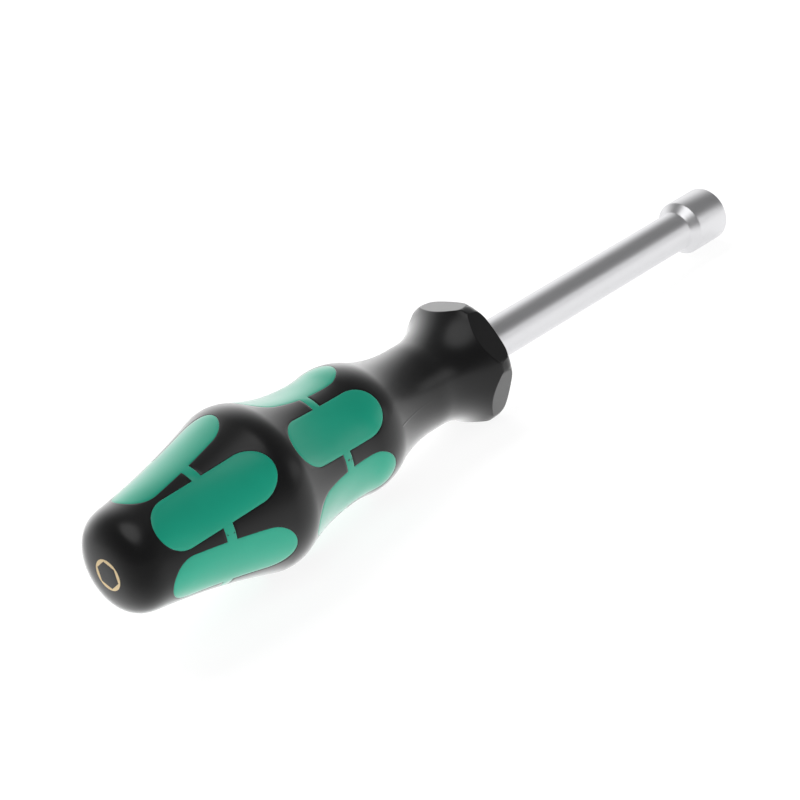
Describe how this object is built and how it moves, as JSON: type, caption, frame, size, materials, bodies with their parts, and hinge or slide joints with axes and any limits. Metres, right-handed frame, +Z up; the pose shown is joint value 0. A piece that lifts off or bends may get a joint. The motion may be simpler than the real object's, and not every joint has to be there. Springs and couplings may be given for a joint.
{
  "type": "nut driver",
  "caption": "Hollow-shaft nut driver: hexagonal socket on a satin steel blade, in a waisted two-plastic handle with soft pads and an anti-roll collar.",
  "frame": {"origin": "centre of the socket's mouth, on the tool's axis", "axes": "+X along the tool's axis out of the socket's mouth, +Z up with one flat of the collar facing down, as the tool lies on a bench"},
  "size_m": [0.195, 0.0368, 0.0368],
  "materials": {
    "satin_chrome_steel": "satin chrome plating on steel",
    "core_plastic": "as moulded",
    "black_hard_plastic": "fine satin moulded surface",
    "green_soft_plastic": "matt soft-touch elastomer"
  },
  "bodies": {
    "root": {"blade": "satin_chrome_steel", "handle_core": "core_plastic", "handle_shell": "black_hard_plastic", "rear_grip": "green_soft_plastic", "front_grip": "green_soft_plastic"}
  },
  "joints": []
}
